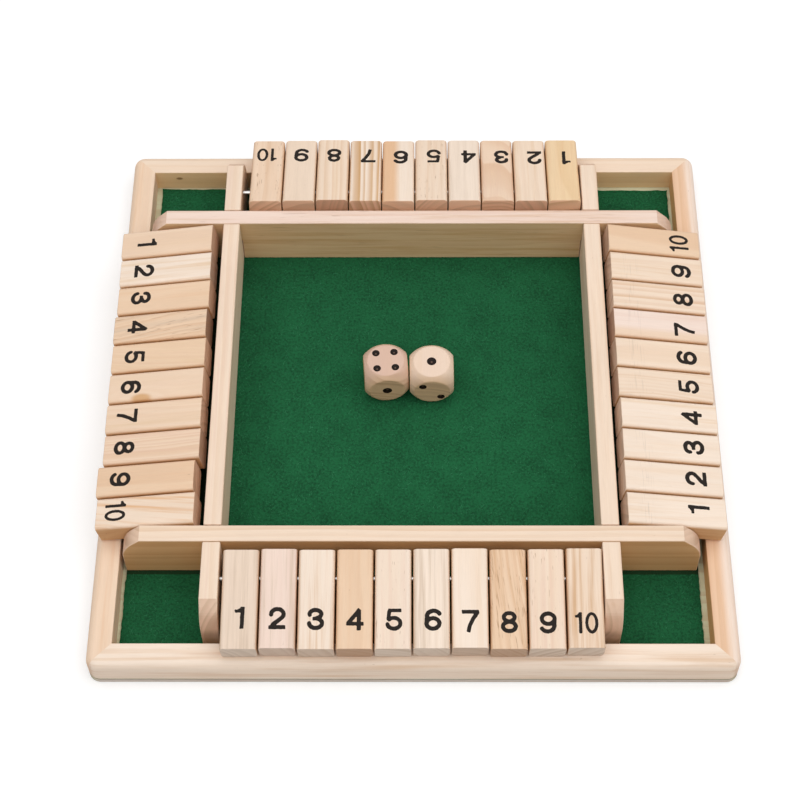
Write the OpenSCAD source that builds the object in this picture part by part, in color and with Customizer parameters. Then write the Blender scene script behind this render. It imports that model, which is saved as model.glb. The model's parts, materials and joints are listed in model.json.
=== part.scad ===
// Four-sided shut the box game: a square wooden tray with ten number tiles on each side.
// Origin: middle of the underside. +X right, +Y to the back row, +Z up. Millimetres.

/* [Tray] */
// Inside width of the square dice tray
tray_w = 125; // [100:0.5:160]
// Height of the dividers above the felt
divider_h = 21; // [19:0.1:27]
// Thickness of a divider
divider_t = 6; // [5:0.1:8]
// Sloping cut at the top of each divider end
divider_chamfer = 6.5; // [2:0.1:9]
// Gap between a divider's ends and the rails
divider_end_gap = 1.85; // [1.6:0.05:3]
// How far the divider grid sits off the middle, X and Y
grid_shift = [-0.6, 1.4]; // [-1.5:0.1:1.5]

/* [Frame] */
// Width of a rail
rail_w = 8.4; // [7.5:0.1:11]
// Height of a rail above the base board
rail_h = 9.4; // [7:0.1:11]
// Radius of the rail's outer shoulder
shoulder_r = 3; // [1:0.1:4]
// Radius of the frame's corners seen from above
corner_r = 4; // [4:0.1:8]
// Thickness of the base board
base_t = 2.6; // [2:0.1:5]

/* [Felt] */
// Thickness of the felt
felt_t = 1; // [0.5:0.1:2]
// Gap between the felt and the rails
felt_gap = 1.25; // [1.2:0.05:5]
// How far the felt was laid askew, in degrees
felt_turn = -0.3; // [-0.7:0.1:0.7]

/* [Tiles] */
// Length of a tile
tile_len = 33.6; // [27:0.1:42]
// Thickness of a tile
tile_t = 9; // [7:0.1:11]
// Gap between neighbouring tiles, front right back left
tile_gaps = [0.6, 0.6, 0.4, 0.6]; // [0.2:0.1:0.6]
// Gap between tile 1 and its divider, front right back left
first_gaps = [1.2, 0.4, 0.5, 1.2]; // [0.2:0.1:1.4]
// Free play along the rod in a full row
row_play = 1.6; // [1.6:0.1:4]
// Rounding of a tile's long edges
tile_round = 2; // [0.4:0.1:3]
// From the rod hole to a tile's inner end
hole_back = 9; // [7:0.1:10.5]
// How far a tile's end lies over its rail
rail_bearing = 6.85; // [5:0.05:8]

/* [Rods] */
// Diameter of a rod
rod_d = 1.5; // [1:0.1:3]
// Depth of a rod's blind hole in a divider
rod_seat = 4; // [2:0.1:4.5]
// From a divider's outer face to the rod
rod_out = 11.6; // [11.2:0.1:14]
// How far the rod lies below the divider's top edge
rod_drop = 4.3; // [3:0.1:6]

/* [Dice] */
// Size of a die
die_size = 15.5; // [12:0.5:20]
// Width of the flat round face on each side of a die
die_flat = 12.6; // [10:0.1:14]
// Diameter of a pip
pip_d = 2.5; // [1.5:0.1:3]
// Depth of a pip
pip_depth = 0.5; // [0.2:0.1:1]
// Distance from the middle pip to an outer pip
pip_spread = 3.2; // [2.5:0.1:3.5]

/* [Clearances] */
// Radial clearance of a tile on its rod
tile_fit = 0.08; // [0.02:0.01:0.1]
// Radial clearance of a rod in its divider
seat_fit = 0.02; // [0.01:0.01:0.05]
// Clearance at each side of a half lap
lap_fit = 0.1; // [0:0.05:0.3]
// Gap left under a resting tile
rest_gap = 0.05; // [0.02:0.01:0.1]

/* [Hidden] */
$fn = 48;
ROWS = ["front", "right", "back", "left"];
TILES = 10;
function row_nodes(piece) = [for (row = ROWS) str(piece, "_", row)];
TILE_NODES = [for (row = ROWS, number = [1:TILES]) str("tile_", row, "_", number)];

// how far each tile's rod hole was drilled off its line, tile 1 to 10, + puts the tile further out
hole_drift = [
    [0.5, 0.2, 0.5, 0.4, 0.4, 0.2, 0.0, 0.4, 0.3, 0.0],
    [-0.4, -0.6, -0.5, -0.4, -0.8, -0.8, -0.8, -0.6, -0.6, -0.8],
    [-0.3, -0.5, -0.4, -0.3, -0.1, -0.6, -0.4, 0.1, -0.3, -0.5],
    [0.2, -0.1, -0.3, 0.1, -0.2, -0.2, -0.3, -0.6, 0.7, -0.1]
];
// where the dice lie in the tray, how far each is turned, and the numbers that show
die_spot = [[-9.05, 6.3], [7.1, 5.8]];
die_turn = [4.5, 1];
pip_big = 1.25;       // a lone pip is this much wider
over = 1;             // how far a cutter passes the face it opens
felt_shift = 0.1;     // how far the felt lies towards the back

felt_top = base_t + felt_t;
rail_top = base_t + rail_h;
divider_top = felt_top + divider_h;
tray_half = tray_w / 2;
divider_out = tray_half + divider_t;
rod_line = divider_out + rod_out;
rod_z = divider_top - rod_drop;
rod_len = tray_w + 2 * (rod_seat - seat_fit);
rail_inner = rod_line + tile_len - hole_back - rail_bearing;
frame_half = rail_inner + rail_w;
divider_half = rail_inner - divider_end_gap;
felt_half = rail_inner - felt_gap;
lap_z = felt_top + divider_h / 2;
row_gap = max(tile_gaps);
tile_w = (tray_w - row_play - (TILES - 1) * row_gap) / TILES;
half_t = tile_t / 2;
die_ball = norm([die_size, die_flat]) / 2;

// a row faces outward along -Y before it is turned a quarter turn for each side
function outward(side) = [sin(90 * side), -cos(90 * side)];
function rail_edge(side) = rail_inner - grid_shift * outward(side);
function tile_x(side, number) = first_gaps[side] - tray_half + tile_w / 2
    + (number - 1) * (tile_w + tile_gaps[side]);
function reach(side, number) = tile_len - hole_back + hole_drift[side][number - 1];

// slope at which a tile's outer bottom edge lies on the rail's flat top
function edge_tilt(reach) = asin((rod_z - rail_top - rest_gap) / norm([reach, half_t]))
    - atan2(half_t, reach);
// slope at which a tile's underside touches the rail's rounded shoulder
function shoulder_tilt(a, b) = acos((shoulder_r + half_t + rest_gap) / norm([a, b])) - atan2(a, b);
function rest_tilt(side, number) = let (
        reach = reach(side, number),
        on_flat = edge_tilt(reach),
        flat_end = rail_edge(side) + rail_w - shoulder_r - rod_line,
        tip = reach * cos(on_flat) - half_t * sin(on_flat),
        on_shoulder = shoulder_tilt(flat_end, rod_z - rail_top + shoulder_r)
    ) tip <= flat_end + shoulder_r * sin(on_flat) ? on_flat : on_shoulder;

module on_side(side) {
    translate([grid_shift.x, grid_shift.y, 0])
        rotate([0, 0, 90 * side])
            children();
}

module rounded_square(half, r) {
    square([2 * half, 2 * (half - r)], center = true);
    square([2 * (half - r), 2 * half], center = true);
    for (x = [r - half, half - r], y = [r - half, half - r])
        translate([x, y])
            circle(r);
}

module base_board() {
    color("burlywood")
        linear_extrude(base_t)
            rounded_square(frame_half, corner_r);
}

module felt_sheet() {
    color("darkgreen")
        translate([0, felt_shift, base_t])
            rotate([0, 0, felt_turn])
                translate([-felt_half, -felt_half, 0])
                    cube([2 * felt_half, 2 * felt_half, felt_t]);
}

// rail section: x runs inward from the outer face, y up
module rail_section(width) {
    difference() {
        square([width, rail_h]);
        translate([-over, rail_h - shoulder_r])
            square([shoulder_r + over, shoulder_r + over]);
    }
    intersection() {
        translate([shoulder_r, rail_h - shoulder_r])
            circle(shoulder_r);
        square([shoulder_r, rail_h]);
    }
}

module rail_corner() {
    rotate_extrude(angle = 90)
        translate([corner_r, 0])
            mirror([1, 0])
                rail_section(corner_r);
}

module rail(side) {
    straight = frame_half - corner_r;
    color("wheat")
        translate([0, 0, base_t])
            rotate([0, 0, 90 * side])
                intersection() {
                    union() {
                        translate([-straight, -frame_half, 0])
                            rotate([90, 0, 90])
                                linear_extrude(2 * straight)
                                    rail_section(rail_w);
                        translate([-straight, -straight, 0])
                            rotate([0, 0, 180])
                                rail_corner();
                        translate([straight, -straight, 0])
                            rotate([0, 0, 270])
                                rail_corner();
                    }
                    linear_extrude(rail_h)
                        polygon([[-frame_half, -frame_half], [frame_half, -frame_half],
                                 [rail_inner, -rail_inner], [-rail_inner, -rail_inner]]);
                }
}

// a divider seen from the side, with its two sloping end cuts
module divider_face() {
    shoulder = divider_half - divider_chamfer;
    polygon([[-divider_half, 0], [divider_half, 0],
             [divider_half, divider_h - divider_chamfer], [shoulder, divider_h],
             [-shoulder, divider_h], [-divider_half, divider_h - divider_chamfer]]);
}

// front and back dividers are notched from below, left and right ones from above
module divider(side) {
    notch_w = divider_t + 2 * lap_fit;
    notch_mid = tray_half + divider_t / 2;
    notch_low = side % 2 == 0 ? felt_top - over : lap_z;
    notch_high = side % 2 == 0 ? lap_z : divider_top + over;
    color("navajowhite")
        on_side(side)
            difference() {
                translate([0, -tray_half, felt_top])
                    rotate([90, 0, 0])
                        linear_extrude(divider_t)
                            divider_face();
                for (x = [-notch_mid, notch_mid])
                    translate([x - notch_w / 2, -divider_out - over, notch_low])
                        cube([notch_w, divider_t + 2 * over, notch_high - notch_low]);
                rod_seats();
            }
}

// blind holes in the tray side of a divider for the rods of the two rows beside it
module rod_seats() {
    for (x = [-1, 1])
        translate([x * rod_line, over - tray_half, rod_z])
            rotate([90, 0, 0])
                cylinder(d = rod_d + 2 * seat_fit, h = rod_seat + over);
}

module rod(side) {
    color("silver")
        on_side(side)
            translate([-rod_len / 2, -rod_line, rod_z])
                rotate([0, 90, 0])
                    cylinder(d = rod_d, h = rod_len);
}

module tile_section() {
    flat_w = tile_w - 2 * tile_round;
    flat_t = tile_t - 2 * tile_round;
    square([tile_w, flat_t], center = true);
    square([flat_w, tile_t], center = true);
    for (x = [-flat_w, flat_w] / 2, y = [-flat_t, flat_t] / 2)
        translate([x, y])
            circle(tile_round);
}

// the tile's own origin is the middle of its rod hole
module tile(side, number) {
    color("moccasin")
        on_side(side)
            translate([tile_x(side, number), -rod_line, rod_z])
                rotate([rest_tilt(side, number), 0, 0])
                    difference() {
                        translate([0, tile_len - reach(side, number), 0])
                            rotate([90, 0, 0])
                                linear_extrude(tile_len)
                                    tile_section();
                        rotate([0, 90, 0])
                            cylinder(d = rod_d + 2 * tile_fit, h = tile_w + 2 * over, center = true);
                    }
}

function pip_grid(value) = concat(
    value % 2 == 1 ? [[0, 0]] : [],
    value > 1 ? [[-1, 1], [1, -1]] : [],
    value > 3 ? [[-1, -1], [1, 1]] : [],
    value == 6 ? [[-1, 0], [1, 0]] : []);

// dimples on the +Z face of a die whose middle is the origin
module pips(value) {
    pip_r = pip_d / 2 * (value == 1 ? pip_big : 1);
    ball_r = (pip_r * pip_r / pip_depth + pip_depth) / 2;
    for (spot = pip_grid(value))
        translate([spot.x * pip_spread, spot.y * pip_spread, die_size / 2 - pip_depth + ball_r])
            sphere(ball_r);
}

// values: top, front, right; the opposite faces make each pair up to seven
module die(which, values) {
    spot = grid_shift + die_spot[which];
    color("blanchedalmond")
        translate([spot.x, spot.y, felt_top + die_size / 2])
            rotate([0, 0, die_turn[which]])
                difference() {
                    intersection() {
                        cube(die_size, center = true);
                        sphere(die_ball);
                    }
                    pips(values[0]);
                    rotate([180, 0, 0])
                        pips(7 - values[0]);
                    rotate([90, 0, 0])
                        pips(values[1]);
                    rotate([-90, 0, 0])
                        pips(7 - values[1]);
                    rotate([0, 90, 0])
                        pips(values[2]);
                    rotate([0, -90, 0])
                        pips(7 - values[2]);
                }
}

base_board();
felt_sheet();
for (side = [0:3])
    rail(side);
for (side = [0:3])
    divider(side);
for (side = [0:3])
    rod(side);
die(0, [4, 1, 5]);  // die_left
die(1, [1, 2, 3]);  // die_right
for (side = [0:3], number = [1:TILES])
    tile(side, number);
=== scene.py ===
import json
import math
import random
import bmesh
import bpy
import numpy as np
from mathutils import Matrix, Vector, noise


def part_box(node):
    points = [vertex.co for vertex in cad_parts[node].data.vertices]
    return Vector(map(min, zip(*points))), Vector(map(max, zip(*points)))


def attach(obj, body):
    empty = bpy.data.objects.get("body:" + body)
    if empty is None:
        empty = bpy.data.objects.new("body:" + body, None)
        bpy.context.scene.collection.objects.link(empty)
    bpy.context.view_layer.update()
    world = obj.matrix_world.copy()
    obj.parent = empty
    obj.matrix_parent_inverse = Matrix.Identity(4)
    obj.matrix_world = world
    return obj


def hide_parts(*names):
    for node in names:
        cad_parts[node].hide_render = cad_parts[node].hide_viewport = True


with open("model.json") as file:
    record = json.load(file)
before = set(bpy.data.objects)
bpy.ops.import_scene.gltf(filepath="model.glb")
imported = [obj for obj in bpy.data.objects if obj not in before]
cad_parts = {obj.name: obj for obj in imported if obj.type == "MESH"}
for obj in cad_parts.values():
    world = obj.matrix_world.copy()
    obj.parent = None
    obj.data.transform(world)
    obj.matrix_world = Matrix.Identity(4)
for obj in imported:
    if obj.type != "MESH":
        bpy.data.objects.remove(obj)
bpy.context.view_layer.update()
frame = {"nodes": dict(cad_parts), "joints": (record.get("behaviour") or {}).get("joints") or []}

mm = 0.001
rows = ["front", "right", "back", "left"]
joints = {joint["name"]: joint for joint in frame["joints"]}
scene = bpy.context.scene
print("frame loaded:", len(frame["nodes"]), "nodes")


# colours are written as they look on screen
def paint(code):
    channels = [int(code[i:i + 2], 16) / 255 for i in (1, 3, 5)]
    return tuple(c / 12.92 if c <= 0.04045 else ((c + 0.055) / 1.055) ** 2.4 for c in channels) + (1,)


white = (1, 1, 1, 1)


# small helpers for shader trees

def isSocket(value):
    return isinstance(value, bpy.types.NodeSocket)


# a value that is a socket is linked, any other is set on the node's own socket
def setInputs(node, values):
    for key, value in values.items():
        if isSocket(value):
            node.id_data.links.new(value, node.inputs[key])
        else:
            node.inputs[key].default_value = value


def addNode(tree, kind, values=None, **settings):
    node = tree.nodes.new("ShaderNode" + kind)
    for key, value in settings.items():
        setattr(node, key, value)
    setInputs(node, values or {})
    return node


# a node in the tree that the sockets among its values belong to
def feedNode(kind, values, **settings):
    tree = next(value.id_data for value in values.values() if isSocket(value))
    return addNode(tree, kind, values, **settings)


def calc(operation, first, second=0.0):
    return feedNode("Math", {0: first, 1: second}, operation=operation).outputs[0]


def plus(first, second):
    return calc("ADD", first, second)


def minus(first, second):
    return calc("SUBTRACT", first, second)


def times(first, second):
    return calc("MULTIPLY", first, second)


def squared(value):
    return calc("POWER", value, 2.0)


def reachOf(x, y):
    return calc("SQRT", plus(squared(x), squared(y)))


def vectorCalc(operation, first, second):
    return feedNode("VectorMath", {0: first, 1: second}, operation=operation).outputs[0]


def joined(x=0.0, y=0.0, z=0.0):
    return feedNode("CombineXYZ", {0: x, 1: y, 2: z}).outputs[0]


def split(vector):
    return feedNode("SeparateXYZ", {0: vector}).outputs


def rescale(value, low, high, newLow=0.0, newHigh=1.0):
    values = {0: value, 1: low, 2: high, 3: newLow, 4: newHigh}
    return feedNode("MapRange", values, interpolation_type="SMOOTHSTEP").outputs[0]


def mixColor(amount, first, second, blend="MIX"):
    values = {0: amount, 6: first, 7: second}
    return feedNode("Mix", values, data_type="RGBA", blend_type=blend).outputs[2]


def tinted(color, tint):
    return mixColor(1.0, color, tint, "MULTIPLY")


def shaded(color, shade):
    return tinted(color, feedNode("CombineColor", {0: shade, 1: shade, 2: shade}).outputs[0])


# noise drawn out by a factor along each axis, features are about 1 / factor millimetres long
def drawnNoise(vector, factors, detail=2.0, roughness=0.5):
    stretched = vectorCalc("MULTIPLY", vector, factors)
    values = {"Vector": stretched, "Scale": 1.0, "Detail": detail, "Roughness": roughness}
    return feedNode("TexNoise", values)


# depth is in millimetres
def bumped(height, strength, depth):
    values = {"Strength": strength, "Distance": depth * mm, "Height": height}
    return feedNode("Bump", values).outputs["Normal"]


# a coat or a metal that has worn unevenly from one colour to another
def wornColor(thin, look):
    return mixColor(rescale(thin, *look["wear"]), paint(look["color"]), paint(look["worn"]))


def readAttribute(tree, name, output):
    return addNode(tree, "Attribute", attribute_name=name).outputs[output]


# one where the camera sees a thing directly or in a reflection
def cameraSees(tree):
    path = addNode(tree, "LightPath").outputs
    return calc("MAXIMUM", path["Is Camera Ray"], path["Is Glossy Ray"])


def newGroup(name, inputs, outputs):
    tree = bpy.data.node_groups.new(name, "ShaderNodeTree")
    for label, kind, value in inputs:
        socket = tree.interface.new_socket(label, in_out="INPUT", socket_type="NodeSocket" + kind)
        socket.default_value = value
    for label, kind in outputs:
        tree.interface.new_socket(label, in_out="OUTPUT", socket_type="NodeSocket" + kind)
    return tree, tree.nodes.new("NodeGroupInput").outputs, tree.nodes.new("NodeGroupOutput")


def newMaterial(name):
    material = bpy.data.materials.new(name)
    material.use_nodes = True
    tree = material.node_tree
    return material, tree, tree.nodes["Principled BSDF"]


def newObject(name, data):
    thing = bpy.data.objects.new(name, data)
    scene.collection.objects.link(thing)
    return thing


# camera, lights and floor

camera = {
    "lens": 86.46, "sensor": 36,
    "place": (1.149, -365.495, 580.41),     # millimetres from the middle of the underside
    "pitch": 57.567, "yaw": -0.911, "roll": -0.796,
    "sightEnd": 20,                         # metres
}


def setCamera():
    pitch, yaw, roll = (math.radians(camera[key]) for key in ("pitch", "yaw", "roll"))
    forward = Vector((math.sin(yaw) * math.cos(pitch), math.cos(yaw) * math.cos(pitch), -math.sin(pitch)))
    right = Vector((math.cos(yaw), -math.sin(yaw), 0))
    up = right.cross(forward)
    turnedRight = right * math.cos(roll) + up * math.sin(roll)
    turnedUp = up * math.cos(roll) - right * math.sin(roll)
    data = bpy.data.cameras.new("camera")
    data.lens = camera["lens"]
    data.sensor_width = camera["sensor"]
    data.clip_end = camera["sightEnd"]
    holder = newObject("camera", data)
    axes = Matrix((turnedRight, turnedUp, -forward)).transposed()
    holder.matrix_world = Matrix.Translation(Vector(camera["place"]) * mm) @ axes.to_4x4()
    scene.camera = holder


# sizes and places in metres
lights = {
    "sky": 0.25,                                        # even light from all round
    "softboxSize": 2.6, "softboxPower": 29.2, "softboxPlace": (0.1, -0.16, 1.3),
}


def setLights():
    world = bpy.data.worlds.new("studio")
    scene.world = world
    world.use_nodes = True
    tree = world.node_tree
    tree.nodes.clear()
    strength = feedNode("Mix", {0: cameraSees(tree), 2: lights["sky"], 3: 1.0}).outputs[0]
    back = feedNode("Background", {"Color": white, "Strength": strength})
    feedNode("OutputWorld", {"Surface": back.outputs[0]})
    data = bpy.data.lights.new("softbox", "AREA")
    data.shape = "SQUARE"
    data.size = lights["softboxSize"]
    data.energy = lights["softboxPower"]
    lamp = newObject("softbox", data)
    lamp.location = lights["softboxPlace"]
    lamp.rotation_euler = (-lamp.location).to_track_quat("-Z", "Y").to_euler()
    scene.view_settings.view_transform = "Standard"


floorPaper = {
    "half": 6.0,                            # metres
    "drop": 0.05,                           # millimetres below the underside
    "color": "#e4e4e4", "glow": 0.32,       # the glow only lifts what the camera sees
}


def addFloor():
    half = floorPaper["half"]
    corners = [(x * half, y * half, 0) for x, y in ((-1, -1), (1, -1), (1, 1), (-1, 1))]
    mesh = bpy.data.meshes.new("floor")
    mesh.from_pydata(corners, [], [(0, 1, 2, 3)])
    floor = newObject("floor", mesh)
    floor.location.z = -floorPaper["drop"] * mm
    material, tree = newMaterial("floorPaper")[:2]
    tree.nodes.clear()
    glow = times(cameraSees(tree), floorPaper["glow"])
    flat = addNode(tree, "BsdfDiffuse", {"Color": paint(floorPaper["color"])})
    shine = feedNode("Emission", {"Color": white, "Strength": glow})
    both = feedNode("AddShader", {0: flat.outputs[0], 1: shine.outputs[0]})
    feedNode("OutputMaterial", {"Surface": both.outputs[0]})
    mesh.materials.append(material)


# wood with yearly rings round a pith line, cut by whatever face looks at it
# grain is millimetres along, across and up in the board; endGrain, and how far a face takes the painted
# side shade, are nought to one per face

pine = {
    # how finely each noise changes along, across and up, and how far a seed moves them all
    "wander": (0.011, 0.03, 0.03), "streak": (0.018, 0.5, 0.5), "fibre": (0.22, 6.0, 6.0),
    "cloud": (0.03, 0.09, 0.09), "patch": (0.05, 0.2, 0.2), "sawLine": (2.6, 0.12, 0.12),
    "kerf": (0.9, 0.25, 5.0), "seedStep": (137, 61, 29),
    # knots are longer than wide, fade outward and push the rings aside
    "knotLength": 0.55, "knotFade": -0.3, "knotPush": 1.6, "knotHeart": (1.1, 0.5),
    # rings are uneven in width and in strength
    "wanderFar": 6.0, "unevenPace": 0.37, "uneven": 2.2,
    "lateStart": (0.2, 0.85), "lateEnd": (1.0, 0.9), "weakYear": (-0.4, 1.0, 0.1, 1.0),
    "dashAcross": 3.0, "dashLimit": 0.8, "dashMore": 0.28, "dashEdge": 0.07,
    "sawFade": -0.16, "sawEdge": (0.56, 0.7),
    # colours and how strongly they show
    "heartEdge": (-1.5, 1.5), "streakEdge": (0.42, 0.75), "endEdge": (0.35, 0.9),
    "fibreShade": (0.2, 0.8, 0.965, 1.025), "cloudShade": (0.25, 0.75, -0.02, 0.02), "sawShade": 0.1,
    "dark": "#4a2408", "dashDepth": 0.62, "knotDepth": 0.75, "endDepth": 0.9, "endRings": 0.5,
    "endFibre": (0.4, 0.75, 0.0, 0.14),
    "roughness": 0.68, "lateSmooth": 0.1, "endRough": 0.15, "gloss": 0.25, "bump": (0.25, 0.05),
    # heights of the fibres, late rings, dashes and saw kerfs, as shares of the bump
    "fibreHeight": 0.6, "lateHeight": 0.35, "dashHeight": 0.8, "kerfHeight": 1.6,
}


# how much the rings swell near a knot, and its dark heart
def pineKnot(given, place):
    along = times(minus(place[0], given["Knot Along"]), pine["knotLength"])
    across = minus(place[1], given["Knot Across"])
    far = calc("DIVIDE", reachOf(along, across), given["Knot Size"])
    swell = calc("EXPONENT", times(squared(far), pine["knotFade"]))
    return swell, rescale(far, *pine["knotHeart"])


# nought for wood grown early in its year, one for late: from the distance to the pith, which wanders
def pineRings(given, own, place, slope, swell):
    bend = split(drawnNoise(own, pine["wander"]).outputs[1])
    wander = times(given["Wander"], pine["wanderFar"])
    sway, rise = (times(minus(bend[axis], 0.5), wander) for axis in (0, 1))
    across = plus(minus(place[1], given["Pith Across"]), plus(sway, slope))
    lift = plus(rise, times(place[0], given["Run Out"]))
    up = plus(minus(place[2], given["Pith Up"]), lift)
    push = times(swell, times(given["Knot Size"], pine["knotPush"]))
    years = calc("DIVIDE", plus(reachOf(across, up), push), given["Ring Width"])
    pace = plus(times(years, pine["unevenPace"]), given["Seed"])
    values = {"W": pace, "Scale": 1.0, "Detail": 1.0}
    uneven = feedNode("TexNoise", values, noise_dimensions="1D").outputs[0]
    years = plus(years, times(uneven, pine["uneven"]))
    part = calc("FRACT", years)
    year = plus(calc("FLOOR", years), given["Seed"])
    strong = feedNode("TexWhiteNoise", {"W": year}, noise_dimensions="1D").outputs[0]
    late = times(rescale(part, *pine["lateStart"]), rescale(part, *pine["lateEnd"]))
    return times(late, rescale(strong, *pine["weakYear"]))


# short dark resin marks
def pineDashes(given, own):
    patch = drawnNoise(own, pine["patch"], 1.0).outputs[0]
    shortness = calc("DIVIDE", 1.0, given["Dash Length"])
    factors = joined(shortness, pine["dashAcross"], pine["dashAcross"])
    speck = drawnNoise(own, factors, 1.0, 0.4).outputs[0]
    more = times(given["Dashes"], times(patch, pine["dashMore"]))
    dash = rescale(minus(speck, minus(pine["dashLimit"], more)), 0.0, pine["dashEdge"])
    return times(dash, rescale(given["Dashes"], 0.0, 0.05))


# faint lines left by the saw
def pineSawn(given, own, place):
    far = squared(minus(place[0], given["Saw Place"]))
    band = calc("EXPONENT", times(far, pine["sawFade"]))
    line = rescale(drawnNoise(own, pine["sawLine"], 1.0).outputs[0], *pine["sawEdge"])
    return times(times(band, line), given["Saw Marks"])


def makePineWood():
    plain = (0.8, 0.6, 0.45, 1)
    tree, given, result = newGroup("pineWood", [
        ("Early Wood", "Color", plain), ("Late Wood", "Color", plain), ("End Wood", "Color", plain),
        ("Streak Wood", "Color", plain), ("Heart Wood", "Color", plain), ("Side Shade And Tint", "Color", white),
        ("Pith Across", "Float", 20.0), ("Pith Up", "Float", -30.0), ("Run Out", "Float", 0.0),
        ("Drift", "Float", 0.0), ("Ring Width", "Float", 2.5), ("Contrast", "Float", 0.5),
        ("Wander", "Float", 1.5), ("Streaks", "Float", 0.4), ("Dashes", "Float", 0.2),
        ("Dash Length", "Float", 2.4), ("Seed", "Float", 0.0), ("Heart Edge", "Float", 1000.0),
        ("Saw Marks", "Float", 0.0), ("Saw Place", "Float", 0.0),
        ("Knot Wood", "Color", paint("#7c4f2c")), ("Knot Along", "Float", 1000.0),
        ("Knot Across", "Float", 0.0), ("Knot Size", "Float", 1.5),
    ], [("Color", "Color"), ("Roughness", "Float"), ("Height", "Float")])
    grain = readAttribute(tree, "grain", "Vector")
    ends = readAttribute(tree, "endGrain", "Fac")
    sideShadeAndTint = readAttribute(tree, "sideShadeAndTint", "Fac")
    place = split(grain)
    slope = times(place[0], given["Drift"])
    seed = joined(given["Seed"], given["Seed"], given["Seed"])
    shifted = vectorCalc("ADD", grain, vectorCalc("MULTIPLY", seed, pine["seedStep"]))
    own = vectorCalc("ADD", shifted, joined(0.0, slope))
    swell, heart = pineKnot(given, place)
    late = pineRings(given, own, place, slope, swell)
    dash = pineDashes(given, own)
    sawn = pineSawn(given, own, place)
    streak = drawnNoise(own, pine["streak"], 3.0, 0.62).outputs[0]
    fibre = drawnNoise(own, pine["fibre"], 2.0, 0.6).outputs[0]
    cloud = drawnNoise(own, pine["cloud"]).outputs[0]

    # along the grain
    color = mixColor(times(late, given["Contrast"]), given["Early Wood"], given["Late Wood"])
    inHeart = rescale(minus(place[1], given["Heart Edge"]), *pine["heartEdge"])
    color = mixColor(inHeart, color, given["Heart Wood"])
    streaked = times(rescale(streak, *pine["streakEdge"]), given["Streaks"])
    color = mixColor(streaked, color, given["Streak Wood"])
    shade = plus(rescale(fibre, *pine["fibreShade"]), rescale(cloud, *pine["cloudShade"]))
    color = shaded(color, minus(shade, times(sawn, pine["sawShade"])))
    dark = mixColor(0.5, given["Late Wood"], paint(pine["dark"]))
    color = mixColor(times(dash, pine["dashDepth"]), color, dark)
    color = mixColor(times(heart, pine["knotDepth"]), color, given["Knot Wood"])
    # painted shade: faces turned sideways, such as inner walls and the sides of tiles and dice, take a
    # darker side colour; on the base board's edges this colour is the edge tint
    color = mixColor(sideShadeAndTint, color, tinted(color, given["Side Shade And Tint"]))

    # across the grain
    endColor = mixColor(times(late, pine["endRings"]), given["End Wood"], dark)
    endColor = mixColor(rescale(fibre, *pine["endFibre"]), endColor, dark)
    onEnd = times(rescale(ends, *pine["endEdge"]), pine["endDepth"])

    rough = minus(pine["roughness"], times(late, pine["lateSmooth"]))
    kerf = times(drawnNoise(own, pine["kerf"], 2.0, 0.6).outputs[0], ends)
    height = plus(times(fibre, pine["fibreHeight"]), times(late, pine["lateHeight"]))
    height = minus(height, plus(times(dash, pine["dashHeight"]), sawn))
    setInputs(result, {
        "Color": mixColor(onEnd, color, endColor),
        "Roughness": plus(rough, times(ends, pine["endRough"])),
        "Height": plus(height, times(kerf, pine["kerfHeight"]))})
    return tree


# spring growth, summer growth and end grain of each tone
woodTones = {
    "cream": ("#f6e3d1", "#e6c6a6", "#cdb8a6"),
    "pale": ("#f3dcc6", "#deb894", "#c8ae98"),
    "pink": ("#f2dacb", "#dcb49e", "#c3a898"),
    "peach": ("#f0d4ba", "#dbae87", "#bd9a7e"),
    "tan": ("#edceb0", "#d2a074", "#b08a68"),
    "honey": ("#f1d3ab", "#d5a566", "#bb966c"),
    "grey": ("#edd7c3", "#cdb198", "#bda999"),
}
streakTones = {
    "soft": "#e8c8a6", "grey": "#d3bba4", "brown": "#d2a77d", "rose": "#e2b9a2", "orange": "#e3b284",
}
# how a board was cut from the log, sizes in millimetres
woodCuts = {
    "plain": {"Pith Across": 18, "Pith Up": -46, "Ring Width": 3.4, "Contrast": 0.25, "Streaks": 0.3,
              "Dashes": 0.12},
    "streaky": {"Pith Across": 38, "Pith Up": -22, "Ring Width": 3.2, "Contrast": 0.2, "Streaks": 0.85,
                "Dashes": 0.15},
    "striped": {"Pith Across": 42, "Pith Up": -9, "Ring Width": 2.5, "Contrast": 1.0, "Streaks": 0.5,
                "Dashes": 0.1, "Wander": 0.6},
    "fine": {"Pith Across": 55, "Pith Up": -25, "Ring Width": 1.3, "Contrast": 0.45, "Streaks": 0.4,
             "Dashes": 0.2},
    "vee": {"Pith Across": 1, "Pith Up": -17, "Run Out": 0.16, "Ring Width": 2.2, "Contrast": 0.6,
            "Streaks": 0.3, "Dashes": 0.15},
    "slant": {"Pith Across": 34, "Pith Up": -18, "Drift": -0.12, "Ring Width": 2.0, "Contrast": 0.35,
              "Streaks": 0.7, "Dashes": 1.0, "Dash Length": 5.0},
    "dashed": {"Pith Across": 26, "Pith Up": -30, "Ring Width": 3.0, "Contrast": 0.3, "Streaks": 0.35,
               "Dashes": 0.85, "Dash Length": 3.5},
    "straight": {"Pith Across": 70, "Pith Up": -60, "Ring Width": 3.2, "Contrast": 0.3, "Streaks": 0.35,
                 "Wander": 0.5, "Dashes": 0.1},
}
# painted shade on the sideways faces of the frame pieces
sideShade = "#f3e5bf"
sideShadeEdge = 6       # how quickly the painted side shade fades as a face turns away


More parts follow.
